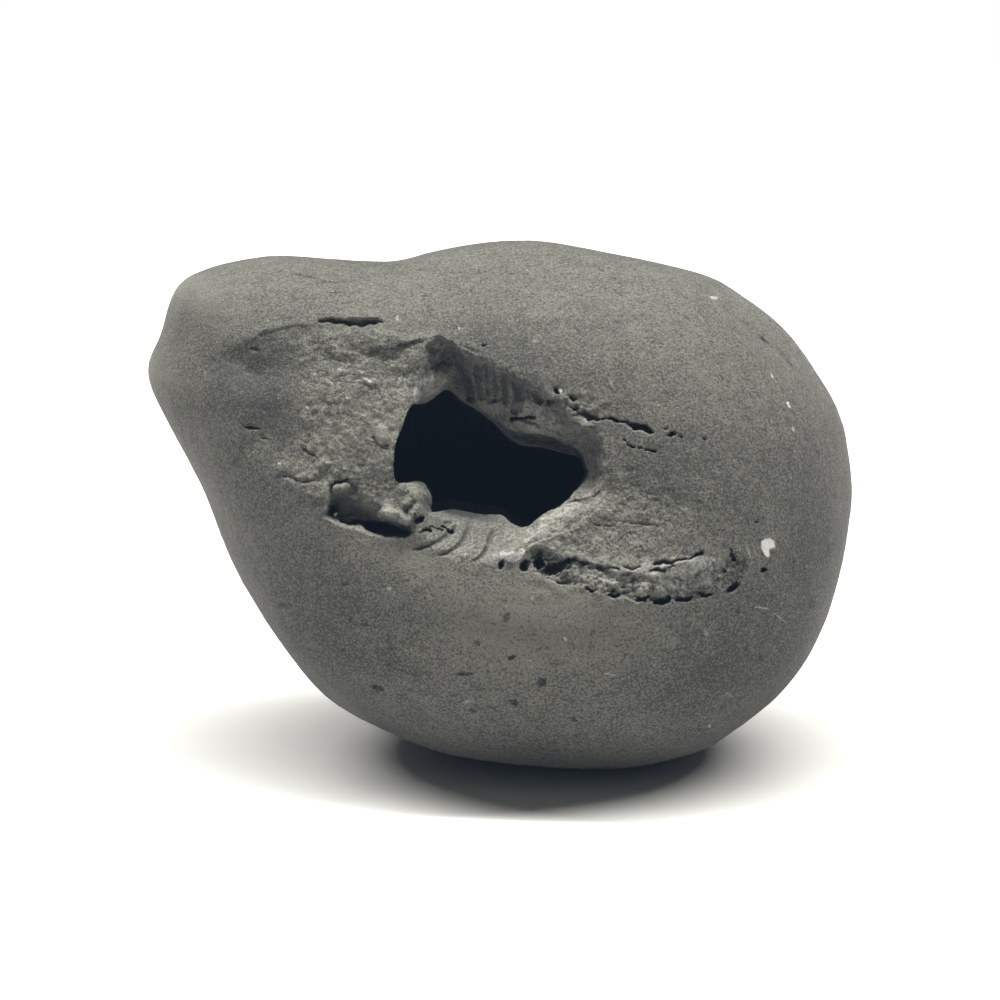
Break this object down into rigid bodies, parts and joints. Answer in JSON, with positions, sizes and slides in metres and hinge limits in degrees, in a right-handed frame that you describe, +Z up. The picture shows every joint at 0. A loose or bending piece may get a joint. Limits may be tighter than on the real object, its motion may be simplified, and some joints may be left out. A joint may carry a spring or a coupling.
{
  "type": "shaligram stone",
  "caption": "Dark river pebble with a blunt beak, broken open on its broad face over the hollow of a coiled fossil shell, and resting on a small flat spot.",
  "frame": {"origin": "centre of the flat spot that the stone rests on", "axes": "+Z up; the broad, broken face looks towards -Y and leans back by 12 degrees; +X is the stone's right, with the beak towards -X"},
  "size_m": [0.0751, 0.0498, 0.0556],
  "materials": {
    "stone": "water-worn matt, dry and slightly dusty, rougher where it is broken"
  },
  "bodies": {
    "root": {"stone": "stone"}
  },
  "joints": []
}
